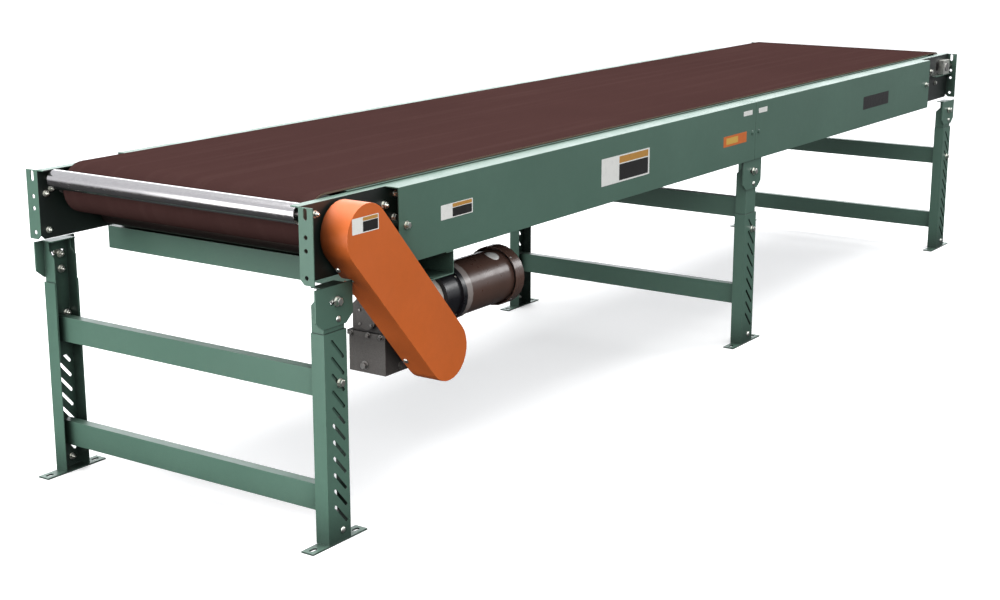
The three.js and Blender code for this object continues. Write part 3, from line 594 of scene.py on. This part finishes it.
def gearbox_fittings():
    """Screws round the split line and the bearing cap, and the oil plugs."""
    left_face, end_face = 76, 340
    screws = [(socket_head, x, left_face + 9, SPLIT + 6, Z_AXIS, 11) for x in (352, 511)]
    screws += [(hex_head, end_face, y, SPLIT, -X_AXIS, 10) for y in (90, 128, 180)]
    screws += [(hex_head, x, left_face, SPLIT, -Y_AXIS, 10) for x in (352, 392, 470, 511)]
    cap_screws = [(MOTOR_AXIS.y + 24 * math.cos(a), MOTOR_AXIS.z + 24 * math.sin(a)) for a in QUARTER_TURNS]
    screws += [(socket_head, 339, y, z, -X_AXIS, 7) for y, z in cap_screws]
    fasteners("gearbox_screws", "bed", screws, STEEL)
    plugs = [(hex_head, 343, 142, 334.5, -X_AXIS, 15), (hex_head, 403, 79, 330.5, -Y_AXIS, 15)]
    fasteners("gearbox_plugs", "bed", plugs, STEEL)


def conduit_box():
    """Terminal box on the side of the motor away from the guard, with its lid screws."""
    x, y, z = 775, MOTOR_AXIS.y + 66, MOTOR_AXIS.z
    shape = Shape()
    shape.plate(rounded(92, 74, 8), at(x, y, z), -X_AXIS, Z_AXIS, 34)
    shape.plate(rounded(97, 79, 9), at(x, y + 34, z), -X_AXIS, Z_AXIS, 4)
    shape.turned([(0, 0), (15, 0), (15, 9), (11, 9), (11, 2), (0, 2)], at(x + 46, y + 17, z), X_AXIS)
    shape.piece("conduit_box", "bed", COVER, rounding=0.8)
    corners = [(x + side * 40, z + level * 31) for side in (-1, 1) for level in (-1, 1)]
    fasteners("conduit_box_screws", "bed", [(button_head, u, y + 38, v, Y_AXIS, 7) for u, v in corners])


def motor_fittings():
    """Through-bolts round the front bell."""
    spots = [(MOTOR_AXIS.y + 66 * math.cos(a), MOTOR_AXIS.z + 66 * math.sin(a)) for a in QUARTER_TURNS]
    fasteners("motor_through_bolts", "bed", [(hex_head, 640, y, z, -X_AXIS, 8) for y, z in spots])


def fan_cover_fittings():
    """Pressed rings round the air inlet and the screws that hold the fan cover."""
    end_face = middle("motor_fan_cover")
    end_face.x = (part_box("motor_fan_cover")[1].x - DRIVE_FLANGE) / MM
    shape = Shape()
    for radius in (27, 38, 49, 60):
        ring = [(radius, -1), (radius + 4, -1), (radius + 3, 0), (radius + 1, 0)]
        shape.turned(ring, at(*end_face), X_AXIS, 48, closed=True)
    shape.piece("fan_cover_rings", "bed", COVER, rounding=0.3)
    spots = [Vector((0, math.cos(a), math.sin(a))) for a in QUARTER_TURNS]
    screws = [(button_head, 876, MOTOR_AXIS.y + 80 * d.y, MOTOR_AXIS.z + 80 * d.z, d, 7) for d in spots]
    fasteners("fan_cover_screws", "bed", screws, STEEL)


def weld_beads():
    """Weld along the inner foot of every leg."""
    half_length, ripples = 34, 26
    ripple = [(0, -1.4), (2.2, -0.9), (2.4, 0.9), (0, 1.4)]
    for stand in STANDS:
        for side in SIDES:
            x = middle(f"lower_leg_{stand}_{side}").x
            shape = Shape()
            for i in range(ripples):
                along = x - half_length + 2 * half_length * i / (ripples - 1)
                shape.turned(ripple, at(along, inside(side, 6.2), 4.6), X_AXIS, 8)
            shape.piece(f"foot_weld_{stand}_{side}", f"stand_{stand}", GREEN)


def wrapped_disc(name, x, turn, radius, finish):
    """A plain round film sticker that follows the motor body."""
    shape = Shape()
    body_radius = MOTOR_RADIUS + 0.15
    rings = []
    for share in (0.0, 0.62, 1.0):
        ring = []
        for u, v in arc(radius * share, 0, 345, 23):
            angle = math.radians(turn) + v / body_radius
            y = MOTOR_AXIS.y + body_radius * math.cos(angle)
            z = MOTOR_AXIS.z + body_radius * math.sin(angle)
            ring.append(shape.bm.verts.new(at(x + u, y, z)))
        rings.append(ring)
    count = len(rings[0])
    for low, high in zip(rings, rings[1:]):
        shape.faces((low[i], low[(i + 1) % count], high[(i + 1) % count], high[i]) for i in range(count))
    bmesh.ops.remove_doubles(shape.bm, verts=shape.bm.verts, dist=0.01 * MM)
    obj = shape.piece(name, "bed", [finish])
    thick = obj.modifiers.new("film", "SOLIDIFY")
    thick.thickness = 0.12 * MM
    thick.offset = -1


gearbox_fittings()
conduit_box()
motor_fittings()
fan_cover_fittings()
weld_beads()


# ---------------------------------------------------------------- labels
def label(name, finishes, origin, size, panels=(), corner=2.0):
    """A film label on the left side of the bed, with printed panels. Each panel is (left, bottom,
    right, top) in fractions of the label, then the index of its finish. Origin is the lower left."""
    width, height = size
    film_thickness = 0.15
    shape = Shape()
    centre = origin + X_AXIS * width / 2 * MM + Z_AXIS * height / 2 * MM
    shape.plate(rounded(width, height, corner), centre, X_AXIS, Z_AXIS, film_thickness)
    proud = outward("left") * film_thickness * MM
    for left, bottom, far, top, finish in panels:
        shape.material = finish
        along = X_AXIS * (left + far) / 2 * width * MM
        above = Z_AXIS * (bottom + top) / 2 * height * MM
        outline = rounded((far - left) * width, (top - bottom) * height, min(corner, height * 0.06))
        shape.plate(outline, origin + proud + along + above, X_AXIS, Z_AXIS, 0.06)
    shape.piece(name, "bed", finishes)


THREE_FILMS = [WHITE_FILM, AMBER_FILM, DARK_FILM]
AMBER_PANEL, DARK_PANEL = 1, 2
rail_panels = [(0.36, 0.06, 0.97, 0.66, DARK_PANEL), (0.36, 0.70, 0.97, 0.95, AMBER_PANEL)]
guard_panels = [(0.40, 0.06, 0.97, 0.70, DARK_PANEL), (0.40, 0.74, 0.97, 0.95, AMBER_PANEL)]
label("label_small", THREE_FILMS, at(465, 0, 686), (131, 36), rail_panels)
label("label_large", THREE_FILMS, at(1205, 0, 657), (265, 76), rail_panels)
label("label_orange", [ORANGE_FILM, YELLOW_FILM], at(1933, 0, 671), (158, 33), [(0.12, 0.2, 0.62, 0.8, 1)])
label("label_white_one", [WHITE_FILM], at(2066, 0, 753), (62, 15), corner=1.5)
label("label_white_two", [WHITE_FILM], at(2173, 0, 752), (62, 16), corner=1.5)
label("plate_dark", [DARK_FILM], at(3031, 0, 668), (237, 46))
label("label_guard", THREE_FILMS, at(77, GUARD_FACE, 722), (93, 36), guard_panels)
wrapped_disc("motor_sticker", 834, 112, 20, WHITE_FILM)


# ---------------------------------------------------------------- camera, light and floor
def make_camera():
    camera = bpy.data.objects.new("camera", bpy.data.cameras.new("camera"))
    camera.data.lens = 60.71
    camera.data.sensor_width = 36
    camera.location = at(-2707.4, -2337.3, 1475)
    camera.rotation_euler = (math.radians(75.98), 0, math.radians(-55.66))
    bpy.context.scene.collection.objects.link(camera)
    bpy.context.scene.camera = camera


def area_light(name, place, target, size, power):
    light = bpy.data.lights.new(name, "AREA")
    light.shape = "RECTANGLE"
    light.size, light.size_y = size
    light.energy = power
    obj = bpy.data.objects.new(name, light)
    obj.location = place
    obj.rotation_euler = (Vector(target) - Vector(place)).to_track_quat("-Z", "Y").to_euler()
    bpy.context.scene.collection.objects.link(obj)


def make_world():
    """A pale dome over the floor, dark below the horizon, with a bright panel past the tail end."""
    world = bpy.data.worlds.new("studio")
    world.use_nodes = True
    tree = world.node_tree
    direction = tree.nodes.new("ShaderNodeTexCoord").outputs["Generated"]

    def ramp(value, low, high, to_low, to_high):
        made = tree.nodes.new("ShaderNodeMapRange")
        limits = {"From Min": low, "From Max": high, "To Min": to_low, "To Max": to_high}
        for name, limit in limits.items():
            made.inputs[name].default_value = limit
        tree.links.new(value, made.inputs["Value"])
        return made.outputs["Result"]

    def maths(operation, first, second):
        made = tree.nodes.new("ShaderNodeMath")
        made.operation = operation
        tree.links.new(first, made.inputs[0])
        tree.links.new(second, made.inputs[1])
        return made.outputs[0]

    parts = tree.nodes.new("ShaderNodeSeparateXYZ")
    tree.links.new(direction, parts.inputs[0])
    height = parts.outputs["Z"]
    dome = ramp(height, -0.16, 0.06, 0.06, 0.80)
    towards = tree.nodes.new("ShaderNodeVectorMath")
    towards.operation = "DOT_PRODUCT"
    tree.links.new(direction, towards.inputs[0])
    towards.inputs[1].default_value = Vector((0.86, 0.50, 0.0)).normalized()
    glow = ramp(towards.outputs["Value"], 0.72, 0.92, 0, 2.6)
    panel = maths("MULTIPLY", glow, ramp(height, 0.0, 0.06, 0, 1))
    panel = maths("MULTIPLY", panel, ramp(height, 0.30, 0.50, 1, 0))
    background = tree.nodes["Background"]
    background.inputs["Color"].default_value = (0.95, 0.97, 1.0, 1.0)
    tree.links.new(maths("ADD", dome, panel), background.inputs["Strength"])
    bpy.context.scene.world = world


def make_floor():
    f = Finish("studio_floor")
    tone = f.blend(f.levels(f.noise(0.8, 3), 0.3, 0.7), rgb(0.86, 0.86, 0.86), rgb(0.88, 0.88, 0.88))
    rough = f.levels(f.noise(3, 3), 0.3, 0.7, 0.75, 0.85)
    floor_finish = f.done(tone, rough, f.bump(f.noise(40, 3), 0.0005, 0.1))
    radius, thickness, sides = 60000, 20, 64
    outline = arc(radius, 0, 360 - 360 / sides, sides - 1)
    shape = Shape()
    shape.plate(outline, Vector((0, 0, -thickness * MM)), X_AXIS, Y_AXIS, thickness)
    bmesh.ops.recalc_face_normals(shape.bm, faces=shape.bm.faces)
    mesh = bpy.data.meshes.new("floor")
    shape.bm.to_mesh(mesh)
    shape.bm.free()
    mesh.materials.append(floor_finish)
    floor = bpy.data.objects.new("floor", mesh)
    bpy.context.scene.collection.objects.link(floor)
    f.feed(f.shader.inputs["Emission Color"], rgb(1, 1, 1))
    f.feed(f.shader.inputs["Emission Strength"], 0.35)
    floor.visible_diffuse = False
    floor.visible_glossy = False


make_camera()
make_world()
make_floor()

STUDIO_LIGHTS = {  # place, target, size in metres; power in watts
    "overhead": {"place": (0.0, 0.0, 4.6), "target": (0, 0, 0), "size": (8.0, 5.0), "power": 400},
    "front_left": {"place": (-5.5, -3.0, 2.6), "target": (-0.8, 0, 0.6), "size": (2.5, 2.0), "power": 110},
    "near_end": {"place": (-3.9, 0.7, 0.9), "target": (-2.0, -0.1, 0.45), "size": (1.8, 1.3), "power": 19},
    "near_floor": {
        "place": (-3.9, -0.3, 0.12), "target": (-1.8, -0.3, 0.55), "size": (2.4, 0.35), "power": 20,
    },
    "lengthwise": {"place": (7.0, -4.5, 3.6), "target": (-1.0, -0.3, 0.5), "size": (3.0, 2.0), "power": 130},
}
for light_name, settings in STUDIO_LIGHTS.items():
    area_light(light_name, **settings)
bpy.context.scene.view_settings.view_transform = "Standard"
